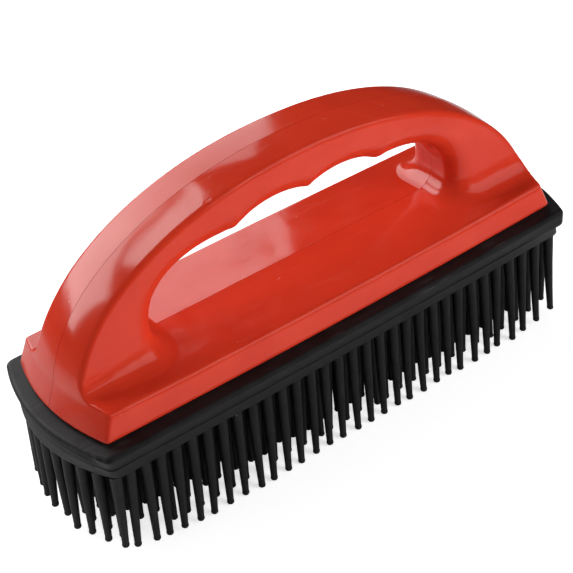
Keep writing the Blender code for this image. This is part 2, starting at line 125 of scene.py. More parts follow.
# The hand opening.
FINGER_SPACING = 20.4
FINGER_REACH = 22.8          # where the outer cusps are
FINGER_MIDDLE = 1.5          # the finger arcs sit a little to the right of the opening's middle
FINGER_RADIUS = 27.0
FINGER_TOP = PAD_BOTTOM + 46.3
OUTER_RADII = (22.6, 16.2)   # of the rounded end of the opening
OUTER_CENTRE = (26.8, PAD_BOTTOM + 26.8)
OUTER_POWER = 2.25
LOWER_SQUEEZE = 0.35         # heights below the centre count this much, so the end runs down into the deck
CUSP_ROUND = 1.6

GRID = 0.6                   # spacing of the surface net


# Distances. Negative is inside.

def rounded_meet(a, b, radius):
    """What is in both shapes, with the edge between them rounded."""
    corner = np.hypot(np.maximum(a + radius, 0), np.maximum(b + radius, 0))
    return np.minimum(np.maximum(a, b), -radius) + corner


def filleted_join(a, b, radius):
    """Both shapes together, with a concave fillet between them."""
    corner = np.hypot(np.maximum(radius - a, 0), np.maximum(radius - b, 0))
    return np.maximum(np.minimum(a, b), radius) - corner


def super_ellipse(x, z, half_x, half_z, power_x, power_z):
    """Distance, close to the curve, from |x/half_x|^power_x + |z/half_z|^power_z = 1."""
    share_x = np.abs(x) / half_x
    share_z = np.abs(z) / half_z
    value = share_x ** power_x + share_z ** power_z - 1
    slope_x = power_x / half_x * share_x ** (power_x - 1)
    slope_z = power_z / half_z * share_z ** (power_z - 1)
    return value / np.maximum(np.hypot(slope_x, slope_z), 0.6 / half_x)


def outer_face(x, y, z):
    """The brush's long outer curve: both end walls and the handle's roof, with a slight ridge at the seam."""
    above = np.maximum(z - RIM_TOP, 0)
    arch = super_ellipse(x, above, ARCH_HALF_LENGTH, ARCH_RISE, ARCH_POWER, 2.0)
    upper = np.clip((z - DECK_EDGE - RIDGE_START) / RIDGE_RISE, 0, 1)
    ridge = RIDGE_SLOPE * upper * np.abs(y) * np.clip(1 - np.abs(y) / RIDGE_REACH, 0, 1)
    flare = END_FLARE * np.clip((DECK_EDGE - z) / END_FLARE_HEIGHT, 0, 1) ** 1.5
    bow = END_BOW_FACTOR - ROOF_FLATTENING * upper
    return arch + ridge - flare + bow * y * y


def hand_opening(x, z):
    """The opening under the handle: two finger arcs between two rounded ends, with cusps where they meet."""
    side = np.abs(x)
    along = np.abs(x - FINGER_MIDDLE)
    finger = np.hypot(along - FINGER_SPACING / 2, z - (FINGER_TOP - FINGER_RADIUS)) - FINGER_RADIUS
    finger = np.maximum(finger, along - FINGER_REACH)
    below = np.minimum(z - OUTER_CENTRE[1], 0) * LOWER_SQUEEZE
    above = np.maximum(z - OUTER_CENTRE[1], 0)
    across = np.maximum(side - OUTER_CENTRE[0], 0)
    outer = super_ellipse(across, above - below, *OUTER_RADII, OUTER_POWER, OUTER_POWER)
    both = np.minimum(finger, outer)
    blend = np.clip(0.5 + 0.5 * (outer - finger) / CUSP_ROUND, 0, 1)
    return both + CUSP_ROUND * blend * (1 - blend) * 0.5


def body(x, y, z):
    """The whole body as one solid."""
    x = x + HANDLE_SHIFT * np.clip((z - DECK_EDGE) / SHIFT_HEIGHT, 0, 1)
    ends = outer_face(x, y, z)
    rise = z - BODY_FOOT
    bow = SIDE_BOW * (1 - (x / ARCH_HALF_LENGTH) ** 2)
    half_width = FOOT_HALF_WIDTH + bow - math.tan(WALL_LEAN) * rise
    sides = (np.abs(y) - half_width) * math.cos(WALL_LEAN)
    across = np.abs(y) / FOOT_HALF_WIDTH
    fall = CROWN_STRAIGHT * across + (1 - CROWN_STRAIGHT) * across ** 2
    deck = z - DECK_EDGE - DECK_CROWN * (1 - fall)

    base = rounded_meet(rounded_meet(deck, sides, SIDE_EDGE_ROUND), ends, END_EDGE_ROUND)
    walls = rounded_meet(ends, sides, BODY_CORNER)
    base = np.maximum(base, walls)

    near_feet = np.clip((DECK_EDGE + SPREAD_HEIGHT - z) / SPREAD_HEIGHT, 0, 1) ** 1.5
    slab = np.abs(y) - HANDLE_HALF_WIDTH - HANDLE_SPREAD * near_feet
    arch = rounded_meet(ends, slab, ROOF_EDGE_ROUND)
    handle = rounded_meet(arch, -hand_opening(x, z), OPENING_EDGE_ROUND)
    above_foot = np.maximum(handle, BODY_FOOT - z)
    from_left = np.clip((x + FILLET_START) / FILLET_RUN, 0, 1)
    fillet = FOOT_FILLETS[0] + (FOOT_FILLETS[1] - FOOT_FILLETS[0]) * from_left
    joined = np.maximum(filleted_join(base, above_foot, fillet), ends)

    inset = np.maximum(ends, sides) + WAIST_INSET
    waist = np.maximum(inset, np.maximum(BODY_BOTTOM - z, z - BODY_FOOT - WAIST_OVERLAP))
    standing = np.maximum(joined, rounded_meet(walls, BODY_FOOT - z, FOOT_ROUND))
    return np.minimum(standing, waist)


def gradient(field, points):
    """The direction and the steepness of a field's slope at points, by central differences."""
    step = 0.02
    parts = []
    for axis in range(3):
        shift = np.zeros(3)
        shift[axis] = step
        parts.append(field(*(points + shift).T) - field(*(points - shift).T))
    slope = np.stack(parts, axis=1) / (2 * step)
    size = np.linalg.norm(slope, axis=1, keepdims=True)
    return slope / np.maximum(size, 1e-9), size[:, 0]


def surface_net(field, low, high, spacing):
    """A quad mesh of the field's zero surface: one point for each cell that the surface crosses."""
    axes = [np.arange(a, b + spacing, spacing) for a, b in zip(low, high)]
    values = field(axes[0][:, None, None], axes[1][None, :, None], axes[2][None, None, :])
    inside = values < 0
    corners = [(i, j, k) for i in (0, 1) for j in (0, 1) for k in (0, 1)]

    def at_corner(array, corner):
        cut = tuple(slice(c, n - 1 + c) for c, n in zip(corner, array.shape))
        return array[cut]

    count = sum(at_corner(inside, corner).astype(np.int8) for corner in corners)
    crossed = (count > 0) & (count < 8)
    cells = np.argwhere(crossed)
    index = np.full(crossed.shape, -1)
    index[crossed] = np.arange(len(cells))

    total = np.zeros((len(cells), 3))
    hits = np.zeros(len(cells))
    for axis in range(3):
        for corner in corners:
            if corner[axis]:
                continue
            other = tuple(1 if a == axis else c for a, c in enumerate(corner))
            start = at_corner(values, corner)[crossed]
            end = at_corner(values, other)[crossed]
            cuts = (start < 0) != (end < 0)
            share = np.where(cuts, start / np.where(cuts, start - end, 1), 0)
            point = np.tile(np.array(corner, float), (len(cells), 1))
            point[:, axis] = share
            total += np.where(cuts[:, None], point, 0)
            hits += cuts
    origin = np.array([axis[0] for axis in axes])
    points = origin + (cells + total / hits[:, None]) * spacing

    faces = []
    for axis in range(3):
        u, v = (axis + 1) % 3, (axis + 2) % 3
        ahead = np.roll(inside, -1, axis)
        edges = np.argwhere(inside != ahead)
        edges = edges[(edges[:, axis] < inside.shape[axis] - 1) & (edges[:, u] > 0) & (edges[:, v] > 0)]
        quad = []
        for du, dv in ((0, 0), (-1, 0), (-1, -1), (0, -1)):
            cell = edges.copy()
            cell[:, u] += du
            cell[:, v] += dv
            quad.append(index[tuple(cell.T)])
        quad = np.stack(quad, axis=1)
        outward = inside[tuple(edges.T)]
        quad[~outward] = quad[~outward][:, ::-1]
        faces.append(quad)
    return points, np.concatenate(faces)


def settle(field, points, rounds, limit):
    """Move points along the field's slope onto its surface, never further than the limit."""
    start = points.copy()
    for _ in range(rounds):
        normal, size = gradient(field, points)
        value = field(*points.T) / np.maximum(size, 0.3)
        points = points - normal * np.clip(value, -limit / 2, limit / 2)[:, None]
        points = start + np.clip(points - start, -limit, limit)
    return points


# Mesh helpers.

def link_mesh(name, mesh_data):
    """Link a bmesh, given in millimetres, as an object in metres."""
    bmesh.ops.scale(mesh_data, vec=(MM, MM, MM), verts=mesh_data.verts)
    mesh = bpy.data.meshes.new(name)
    mesh_data.to_mesh(mesh)
    mesh_data.free()
    item = bpy.data.objects.new(name, mesh)
    bpy.context.scene.collection.objects.link(item)
    return item


def half_shell(name, side):
    """The mesh of one half of the body, cut flat at the seam and shaded by the field's own normals."""
    # The net's box: a little larger than the half body all round, and just past the seam.
    reach = ARCH_HALF_LENGTH + 3.5
    low = (-reach, -2.5 * GRID, BODY_BOTTOM - 1)
    high = (reach, FOOT_HALF_WIDTH + 3, HANDLE_TOP + 1)
    seam = SEAM_GAP / 2
    points, quads = surface_net(body, low, high, GRID)
    points = settle(body, points, rounds=4, limit=GRID)
    mesh_data = bmesh.new()
    verts = [mesh_data.verts.new(point) for point in points]
    for quad in quads:
        mesh_data.faces.new([verts[i] for i in quad])
    everything = mesh_data.verts[:] + mesh_data.edges[:] + mesh_data.faces[:]
    cut = bmesh.ops.bisect_plane(
        mesh_data, geom=everything, plane_co=(0, seam, 0), plane_no=(0, 1, 0), dist=0.02, clear_inner=True)
    outline = [item for item in cut["geom_cut"] if isinstance(item, bmesh.types.BMEdge)]
    bmesh.ops.triangle_fill(mesh_data, use_beauty=True, edges=outline, normal=(0, -1, 0))
    if side < 0:
        for vert in mesh_data.verts:
            vert.co.y = -vert.co.y
        bmesh.ops.reverse_faces(mesh_data, faces=mesh_data.faces)
    item = link_mesh(name, mesh_data)
    shade_by_field(item, body)
    return item


def shade_by_field(item, field):
    """Give each face corner the field's normal, and the flat seam face its own."""
    same_way = 0.8               # cosine of the angle up to which a face follows the field
    mesh = item.data
    mesh.shade_smooth()
    coords = np.zeros(len(mesh.vertices) * 3)
    mesh.vertices.foreach_get("co", coords)
    points = coords.reshape(-1, 3) / MM
    normals, _ = gradient(field, points)
    face_normals = np.zeros(len(mesh.polygons) * 3)
    mesh.polygons.foreach_get("normal", face_normals)
    face_normals = face_normals.reshape(-1, 3)
    corner_vertex = np.zeros(len(mesh.loops), np.int32)
    mesh.loops.foreach_get("vertex_index", corner_vertex)
    sizes = np.zeros(len(mesh.polygons), np.int32)
    mesh.polygons.foreach_get("loop_total", sizes)
    corner_face = np.repeat(np.arange(len(mesh.polygons)), sizes)
    corner_normals = normals[corner_vertex]
    own = face_normals[corner_face]
    hard = (corner_normals * own).sum(axis=1) < same_way
    corner_normals[hard] = own[hard]
    mesh.normals_split_custom_set(corner_normals.tolist())


# Materials.

def new_material(name):
    """A material with its node tree and its main shader."""
    made = bpy.data.materials.new(name)
    made.use_nodes = True
    tree = made.node_tree
    return made, tree, tree.nodes["Principled BSDF"]


def add_node(tree, kind, **values):
    """A shader node with its attributes set."""
    node = tree.nodes.new(kind)
    for key, value in values.items():
        setattr(node, key, value)
    return node


def ramp(tree, value, low, high, start=0.0, end=1.0):
    """A socket's value carried smoothly from one range to another, and held at its ends."""
    node = add_node(tree, "ShaderNodeMapRange", interpolation_type="SMOOTHSTEP")
    for name, number in (("From Min", low), ("From Max", high), ("To Min", start), ("To Max", end)):
        node.inputs[name].default_value = number
    tree.links.new(value, node.inputs["Value"])
    return node.outputs["Result"]


def times(tree, a, b):
    """The product of a socket with another socket or a number."""
    node = add_node(tree, "ShaderNodeMath", operation="MULTIPLY")
    tree.links.new(a, node.inputs[0])
    if isinstance(b, (int, float)):
        node.inputs[1].default_value = b
    else:
        tree.links.new(b, node.inputs[1])
    return node.outputs[0]


def plus(tree, a, b):
    """The sum of two sockets, at most one."""
    node = add_node(tree, "ShaderNodeMath", operation="ADD", use_clamp=True)
    tree.links.new(a, node.inputs[0])
    tree.links.new(b, node.inputs[1])
    return node.outputs[0]


def surface_place(tree, stretch=(1, 1, 1), turn=(0, 0, 0), shift=0.0):
    """Where a point of the piece is, in millimetres, stretched and turned for the pattern laid on it."""
    where = add_node(tree, "ShaderNodeTexCoord")
    turned = add_node(tree, "ShaderNodeMapping")
    turned.inputs["Rotation"].default_value = [math.radians(angle) for angle in turn]
    turned.inputs["Location"].default_value = (shift, shift, shift)
    turned.inputs["Scale"].default_value = [1 / MM / size for size in stretch]
    tree.links.new(where.outputs["Object"], turned.inputs["Vector"])
    return turned.outputs["Vector"]


def noise(tree, size, detail=2.0, swirl=0.0, stretch=(1, 1, 1), turn=(0, 0, 0), shift=0.0):
    """Cloudy noise with features of about this size in millimetres."""
    node = add_node(tree, "ShaderNodeTexNoise")
    node.inputs["Scale"].default_value = 1.0 / size
    node.inputs["Detail"].default_value = detail
    node.inputs["Distortion"].default_value = swirl
    tree.links.new(surface_place(tree, stretch, turn, shift), node.inputs["Vector"])
    return node.outputs[0]


def specks(tree, spacing, radius, stretch=(1, 1, 1), turn=(0, 0, 0), shift=0.0):
    """Small spots, one on the cells of a random pattern, as a mask."""
    node = add_node(tree, "ShaderNodeTexVoronoi", feature="F1")
    node.inputs["Scale"].default_value = 1.0 / spacing
    tree.links.new(surface_place(tree, stretch, turn, shift), node.inputs["Vector"])
    size = radius / spacing
    return ramp(tree, node.outputs["Distance"], size * 0.6, size, 1.0, 0.0)


def mix_colour(tree, mask, first, second):
    """A colour between two, each a socket or an RGB value, by a mask."""
    node = add_node(tree, "ShaderNodeMix", data_type="RGBA")
    tree.links.new(mask, node.inputs["Factor"])
    for name, colour in (("A", first), ("B", second)):
        socket = next(item for item in node.inputs if item.name == name and item.type == "RGBA")
        if isinstance(colour, tuple):
            socket.default_value = (*colour, 1)
        else:
            tree.links.new(colour, socket)
    return next(item for item in node.outputs if item.type == "RGBA")


def bump(tree, shader, layers):
    """Chain bump layers, each a height socket and its depth in millimetres, into the shader's normal."""
    normal = None
    for height, depth in layers:
        node = add_node(tree, "ShaderNodeBump")
        node.inputs["Distance"].default_value = abs(depth) * MM
        node.invert = depth < 0
        tree.links.new(height, node.inputs["Height"])
        if normal is not None:
            tree.links.new(normal, node.inputs["Normal"])
        normal = node.outputs["Normal"]
    tree.links.new(normal, shader.inputs["Normal"])


def red_gloss_plastic():
    """Glossy red moulding with faint waves, smudges, hairline scratches, small nicks and dust."""
    made, tree, shader = new_material("red_gloss_plastic")
    shade = ramp(tree, noise(tree, 24, detail=3, swirl=0.8), 0.35, 0.65)
    colour = mix_colour(tree, shade, (0.71, 0.041, 0.0165), (0.76, 0.049, 0.0200))
    dust = times(tree, specks(tree, 5.5, 0.26), ramp(tree, noise(tree, 9, shift=40), 0.5, 0.62))
    colour = mix_colour(tree, times(tree, dust, 0.6), colour, (0.85, 0.5, 0.42))
    tree.links.new(colour, shader.inputs["Base Color"])

    smudge = ramp(tree, noise(tree, 13, detail=5, swirl=2.2, shift=7), 0.5, 0.66)
    nicks = specks(tree, 8, 0.8, stretch=(2.4, 1, 1), turn=(0, 20, 35), shift=3)
    nicks = times(tree, nicks, ramp(tree, noise(tree, 14, shift=90), 0.52, 0.6))
    first = noise(tree, 0.5, detail=1, stretch=(34, 1, 1), turn=(0, 35, 28))
    second = noise(tree, 0.5, detail=1, stretch=(26, 1, 1), turn=(0, -20, -50), shift=60)
    scratches = plus(tree, ramp(tree, first, 0.69, 0.73), ramp(tree, second, 0.7, 0.74))
    dull = plus(tree, times(tree, smudge, 0.12), times(tree, plus(tree, nicks, dust), 0.4))
    dull = plus(tree, dull, times(tree, scratches, 0.16))
    gloss = ramp(tree, dull, 0.0, 1.0, 0.12, 0.72)
    tree.links.new(gloss, shader.inputs["Roughness"])

    bump(tree, shader, (
        (noise(tree, 30, detail=1.5, swirl=0.6, shift=21), 0.9),
        (noise(tree, 9, detail=2, swirl=0.4, shift=33), 0.04),
        (noise(tree, 0.9, detail=2), 0.004),
        (scratches, -0.006),
        (nicks, -0.05),
        (dust, 0.03),
    ))
    return made


def black_rubber():
    """Matt black rubber with a fine grain, grey scuffs on the rim's upper edge and specks of dust."""
    made, tree, shader = new_material("black_rubber")
    shader.inputs["Specular IOR Level"].default_value = 0.25
    shade = ramp(tree, noise(tree, 5, detail=4, swirl=0.4), 0.35, 0.65)
    colour = mix_colour(tree, shade, (0.0105, 0.0098, 0.0108), (0.0160, 0.0148, 0.0160))
    where = add_node(tree, "ShaderNodeTexCoord")
    height = add_node(tree, "ShaderNodeSeparateXYZ")
    tree.links.new(where.outputs["Object"], height.inputs["Vector"])
    upper_edge = ramp(tree, height.outputs["Z"], (RIM_TOP - 3.4) * MM, (RIM_TOP - 1.2) * MM)
    streaks = ramp(tree, noise(tree, 1.1, detail=4, stretch=(7, 1, 1), shift=11), 0.5, 0.72)
    scuffs = times(tree, times(tree, upper_edge, streaks), ramp(tree, noise(tree, 16, shift=5), 0.45, 0.6))
    colour = mix_colour(tree, times(tree, scuffs, 0.75), colour, (0.058, 0.053, 0.053))
    dust = times(tree, specks(tree, 3.4, 0.2), ramp(tree, noise(tree, 7, shift=50), 0.52, 0.62))
    colour = mix_colour(tree, times(tree, dust, 0.55), colour, (0.3, 0.28, 0.27))
    tree.links.new(colour, shader.inputs["Base Color"])
    dull = plus(tree, times(tree, shade, 0.3), times(tree, plus(tree, scuffs, dust), 0.6))
    tree.links.new(ramp(tree, dull, 0.0, 1.0, 0.5, 0.85), shader.inputs["Roughness"])
    bump(tree, shader, (
        (noise(tree, 9, detail=2, shift=13), 0.12),
        (noise(tree, 0.35, detail=3), 0.02),
        (streaks, 0.015),
        (dust, 0.04),
    ))
    return made


def inner_material(name, light, dark, metallic, roughness, grain):
    """Moulded plastic or plated steel inside the brush, mottled, grained and rubbed in streaks."""
    made, tree, shader = new_material(name)
    shader.inputs["Metallic"].default_value = metallic
    shade = ramp(tree, noise(tree, 4, detail=4, swirl=0.6), 0.35, 0.65)
    streaks = ramp(tree, noise(tree, 0.4, detail=2, stretch=(18, 1, 1), turn=(0, 0, 25)), 0.62, 0.72)
    colour = mix_colour(tree, shade, dark, light)
    tree.links.new(mix_colour(tree, times(tree, streaks, 0.3), colour, light), shader.inputs["Base Color"])
    dull = plus(tree, times(tree, shade, 0.5), times(tree, streaks, 0.5))
    tree.links.new(ramp(tree, dull, 0.0, 1.0, roughness, roughness + 0.2), shader.inputs["Roughness"])
    bump(tree, shader, ((noise(tree, grain, detail=3), 0.01), (streaks, -0.004)))
    return made


RED_PLASTIC = red_gloss_plastic()
BLACK_RUBBER = black_rubber()
GREY_PLASTIC = inner_material("grey_plastic", (0.12, 0.12, 0.125), (0.09, 0.09, 0.095), 0.0, 0.45, 0.6)
PLATED_STEEL = inner_material("zinc_plated_steel", (0.62, 0.62, 0.63), (0.48, 0.48, 0.5), 1.0, 0.28, 0.15)


def finish_hidden_parts():
    """The backing plate and its screws stay as they are in the model, with their own finishes."""
    for name, node in frame["nodes"].items():
        if name.startswith("plate_screw") or name == "backing_plate":
            node.data.materials.clear()
            node.data.materials.append(GREY_PLASTIC if name == "backing_plate" else PLATED_STEEL)


finish_hidden_parts()


# The body.

def stand_in(piece, node, material):
    """Finish a piece and let it take its node's place."""
    piece.data.materials.append(material)
    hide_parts(node)
    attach(piece, "root")


for side, node in ((-1, "body_half_left"), (1, "body_half_right")):
    stand_in(half_shell(node.replace("body", "shell"), side), node, RED_PLASTIC)


# The rim and the pad.

def bowed_ring(plan, inset, z, corner):
    """Points round a rectangle whose ends and sides bow outwards.

    The inset and the height are each one number, or one for each point.
    """
    half_length, half_width, end_bow, side_bow = plan
    half_length = half_length - inset
    half_width = half_width - inset
    x = UNIT_RING[:, 0]
    y = UNIT_RING[:, 1]
    flat_x = 1 - corner / half_length
    flat_y = 1 - corner / half_width
    turn_x, turn_y = UNIT_RING[:, 2], UNIT_RING[:, 3]
    u = x * flat_x + turn_x * (1 - flat_x)
    v = y * flat_y + turn_y * (1 - flat_y)
    ring_x = u * (half_length + end_bow * (1 - v * v))
    ring_y = v * (half_width + side_bow * (1 - u * u))
    return np.stack([ring_x, ring_y, np.broadcast_to(z, ring_x.shape)], axis=1)


def unit_ring(end_points=40, side_points=130, corner_points=9):
    """For each point of a ring: its place between the corners, -1 to 1, and its turn round a corner."""
    turn = np.linspace(0, math.pi / 2, corner_points, endpoint=False)
    half = [(1, along, 1, 0) for along in np.linspace(-1, 1, end_points, endpoint=False)]
    half += [(1, 1, math.cos(angle), math.sin(angle)) for angle in turn]
    half += [(-along, 1, 0, 1) for along in np.linspace(-1, 1, side_points, endpoint=False)]
    half += [(-1, 1, -math.sin(angle), math.cos(angle)) for angle in turn]
    half = np.array(half, float)
    return np.concatenate([half, -half])


UNIT_RING = unit_ring()

# Plans: half length, half width, bow of the ends and bow of the sides, in millimetres.
RIM_PLAN = (76.7, 25.3, 5.6, 0.6)
BODY_PLAN = (74.2, 21.4, 4.0, 0.6)
PAD_TOP_PLAN = (75.7, 24.3, 5.6, 0.6)
PAD_FOOT_PLAN = (74.4, 21.6, 5.6, 0.6)
RIM_CORNER = 1.3
BODY_PLAN_CORNER = 2.0

RIM_DRAFT = 0.9              # how far the rim narrows downwards
DRAFT_END = 74.0             # but not from here on to the right
DRAFT_FADE = 12.0
RIM_TOP_FALL = 0.3           # the rim's top falls this much outwards
RIM_LIP_INSET = 1.2          # the lip reaches this far in under the red walls
RIDGE_ROUND = 1.3            # the rim's upper outer edge
RIM_FOOT_HEIGHT = 0.9        # of the rim's lower edge, which is rounded by these insets and rises
RIM_FOOT = ((0.0, 0.75), (0.06, 0.35), (0.16, 0.1), (0.4, 0.0))
COVE_DEPTH = 0.55            # hollow along the rim's left end, under its upper edge
RIM_WALL = 2.2
LIP_THICKNESS = 1.8

# How far each end of the pad's foot is pulled along the brush, and how much more for each mm across it.
PAD_ENDS = {-1: (-0.8, -0.073), 1: (1.8, -0.1)}
PAD_TOP_EDGE = ((3.0, 0.0), (0.35, 0.0), (0.1, 0.1))    # inset and fall, outwards from the flat middle
PAD_FOOT_EDGE = ((0.07, 0.12), (0.25, 0.0))    # inset and rise
PAD_WALL = (0.35, 0.3)       # the wall starts this far below the pad's top and ends this far above its foot
SLIT_CLOSED = 0.02           # height of the slit between rim and pad where it is closed
SLIT_OPENING = 0.48          # and how much more there is where it gapes
SLIT_STEP = 0.4              # how far back the pad stands there
SLIT_START = 22.0            # the slit gapes along the sides from here to the right
SLIT_GROWTH = 10.0           # growing to its full height over this length


def looped_skin(mesh_data, rings, closed):
    """Quads between rings of points; a closed skin joins the last ring to the first."""
    made = [[mesh_data.verts.new(point) for point in ring] for ring in rings]
    pairs = list(zip(made, made[1:]))
    if closed:
        pairs.append((made[-1], made[0]))
    for low, high in pairs:
        for i in range(len(low)):
            j = (i + 1) % len(low)
            mesh_data.faces.new((low[i], low[j], high[j], high[i]))
    return made


def left_end_share(ring):
    """One along the left end, fading to nothing at its corners."""
    x = ring[:, 0]
    y = ring[:, 1]
    return np.clip((-x - RIM_PLAN[0] + 0.8) / 1.5, 0, 1) * np.clip((22.5 - np.abs(y)) / 3, 0, 1)


def slit_width(ring):
    """One where the slit gapes, along the left end and the right half of each side, and else nothing."""
    sides = np.clip((ring[:, 0] - SLIT_START) / SLIT_GROWTH, 0, 1)
    return np.maximum(left_end_share(ring), sides)


def rim_draft(ring):
    """How far the rim's foot stands back from its upper edge, fading out close to the right end."""
    return RIM_DRAFT * np.clip((DRAFT_END - ring[:, 0]) / DRAFT_FADE, 0, 1)


def rim_rings():
    """The rim's section, as rings: over the top, down the outside, and back up inside to the lip."""
    top = RIM_TOP - RIM_TOP_FALL
    rings = [bowed_ring(BODY_PLAN, RIM_LIP_INSET, RIM_TOP, BODY_PLAN_CORNER)]
    for angle in np.linspace(0, math.pi / 2, 8):
        inset = RIDGE_ROUND * (1 - math.sin(angle))
        z = top - RIDGE_ROUND * (1 - math.cos(angle))
        rings.append(bowed_ring(RIM_PLAN, inset, z, RIM_CORNER))
    hollow = COVE_DEPTH * left_end_share(rings[-1])
    draft = rim_draft(rings[-1])
    wall_top = top - RIDGE_ROUND
    for share in np.linspace(0.06, 0.94, 12):
        z = wall_top - share * (wall_top - RIM_BOTTOM - RIM_FOOT_HEIGHT)
        inset = draft * share + hollow * math.sin(math.pi * share)
        rings.append(bowed_ring(RIM_PLAN, inset, z, RIM_CORNER))
    for inset, rise in RIM_FOOT:
        rings.append(bowed_ring(RIM_PLAN, draft + inset, RIM_BOTTOM + rise, RIM_CORNER))
    under_lip = RIM_TOP - LIP_THICKNESS
    rings.append(bowed_ring(RIM_PLAN, RIM_WALL, RIM_BOTTOM, RIM_CORNER))
    rings.append(bowed_ring(RIM_PLAN, RIM_WALL, under_lip, RIM_CORNER))
    rings.append(bowed_ring(BODY_PLAN, RIM_LIP_INSET, under_lip, BODY_PLAN_CORNER))
    return rings


def retaining_rim():
    """The rubber rim as one closed skin."""
    mesh_data = bmesh.new()
    looped_skin(mesh_data, rim_rings(), closed=True)
    bmesh.ops.recalc_face_normals(mesh_data, faces=mesh_data.faces)
    item = link_mesh("rubber_rim", mesh_data)
    item.data.shade_smooth()
    item.data.set_sharp_from_angle(angle=math.radians(40))
    return item


stand_in(retaining_rim(), "retaining_rim", BLACK_RUBBER)

# The pins, in millimetres. Values by end are for the left end, -1, and the right end, 1.
PIN_PITCH = 4.8
PIN_COLUMNS = 32
PIN_ROWS = 9
PIN_SIDES = 14
END_ROW_BOW = {-1: 4.5, 1: 4.1}      # how far the middle pins of an end stand out from its corner pins
END_FOLLOW = {-1: 0.9, 1: 0.6}       # share of the pad's pull that the pins follow
END_SHORTENING = {-1: (6.0, 34.0), 1: (2.4, 16.0)}    # of the last pins, and over what length of the brush
LEFT_TUCK = 1.0              # the last pins at the left end stand this much further in
TIP_CLEARANCE = 1.3          # tips stay this far inside the rim's right end
SPLAY_END = 0.045            # lean outwards of the last pins, as a slope
SPLAY_SIDE = 0.025           # the same for the outer rows
LEAN_SPREAD = 0.012          # how much pins differ in lean, as a slope
BEND_SPREAD = 0.5            # and in bend
SHORT_SPREAD = 0.25          # and in length
# Radius of a pin at shares of its length, root to tip, then the bead at the tip by distance from its end.
PIN_PROFILE = ((0.0, 2.05), (0.008, 1.82), (0.022, 1.66), (0.05, 1.58), (0.35, 1.38), (0.7, 1.12))
PIN_BEAD = ((2.2, 0.95), (1.3, 0.92), (0.85, 1.0), (0.5, 1.02), (0.22, 0.9), (0.06, 0.66), (0.0, 0.3))


def pin_rings(root, tip, wobble):
    """Rings of points down a pin that bends a little sideways towards its tip."""
    axis = tip - root
    length = np.linalg.norm(axis)
    stations = [(share, radius) for share, radius in PIN_PROFILE]
    stations += [(1 - back / length, radius) for back, radius in PIN_BEAD]
    angles = np.arange(PIN_SIDES) * 2 * math.pi / PIN_SIDES
    rings = []
    for share, radius in stations:
        centre = root + axis * share + wobble * share * (1 - share)
        ring = np.zeros((PIN_SIDES, 3))
        ring[:, 0] = centre[0] + radius * np.cos(angles)
        ring[:, 1] = centre[1] - radius * np.sin(angles)
        ring[:, 2] = centre[2]
        rings.append(ring)
    return rings


def end_pull(share, y):
    """How far the soft pad is pulled along at a share of its half length, which only shows near its ends."""
    left, right = PAD_ENDS[-1], PAD_ENDS[1]
    pull = np.where(share < 0, left[0] + left[1] * y, right[0] + right[1] * y)
    return pull * np.clip(np.abs(share), 0, 1) ** 6


def pin_places():
    """Root, tip and sideways bend of each pin, each leaning its own way by a small amount."""
    draw = random.Random(7)
    half_run = PIN_PITCH * (PIN_COLUMNS - 1) / 2
    half_rows = PIN_PITCH * (PIN_ROWS - 1) / 2
    places = []
    for column in range(PIN_COLUMNS):
        for row in range(PIN_ROWS):
            y = PIN_PITCH * row - half_rows
            run = PIN_PITCH * column - half_run
            end = 1 if run > 0 else -1
            share = run / half_run
            x = share * (half_run + END_ROW_BOW[end] * (1 - (y / half_rows) ** 2))
            x += END_FOLLOW[end] * float(end_pull(share, y)) + LEFT_TUCK * max(-share, 0.0) ** 12
            most, over = END_SHORTENING[end]
            near_end = max(abs(run) - (half_run - over), 0.0) / over
            length = PAD_BOTTOM - most * near_end ** 2
            length -= draw.uniform(0, SHORT_SPREAD)
            lean_x = SPLAY_END * share + draw.gauss(0, LEAN_SPREAD)
            lean_y = SPLAY_SIDE * y / half_rows + draw.gauss(0, LEAN_SPREAD)
            root = np.array((x, y, PAD_BOTTOM))
            tip = root + np.array((lean_x * length, lean_y * length, -length))
            tip[0] = min(tip[0], RIM_HIGH.x - TIP_CLEARANCE)
            bend = np.array((draw.gauss(0, BEND_SPREAD), draw.gauss(0, BEND_SPREAD), 0.0))
            places.append((root, tip, bend))
    return places


def pad_rings():
    """Rings from the pad's top, under the rim, over its rounded upper edge and down to its foot."""
    slit = slit_width(bowed_ring(PAD_TOP_PLAN, 0.0, PAD_TOP, RIM_CORNER))
    top = RIM_BOTTOM - SLIT_CLOSED - SLIT_OPENING * slit
    step = SLIT_STEP * slit
    rings = []
    for inset, fall in PAD_TOP_EDGE:
        rings.append(bowed_ring(PAD_TOP_PLAN, inset + step, top - fall, RIM_CORNER))
    upper = bowed_ring(PAD_TOP_PLAN, step, top - PAD_WALL[0], RIM_CORNER)
    lower = bowed_ring(PAD_FOOT_PLAN, 0.0, PAD_BOTTOM + PAD_WALL[1], RIM_CORNER)
    pulled = np.zeros_like(lower)
    pulled[:, 0] = end_pull(lower[:, 0] / PAD_FOOT_PLAN[0], lower[:, 1])
    lower = lower + pulled
    for share in (0.0, 0.4, 0.8, 1.0):
        rings.append(upper + (lower - upper) * share)
    for inset, rise in PAD_FOOT_EDGE:
        rings.append(bowed_ring(PAD_FOOT_PLAN, inset, PAD_BOTTOM + rise, RIM_CORNER) + pulled)
    return rings


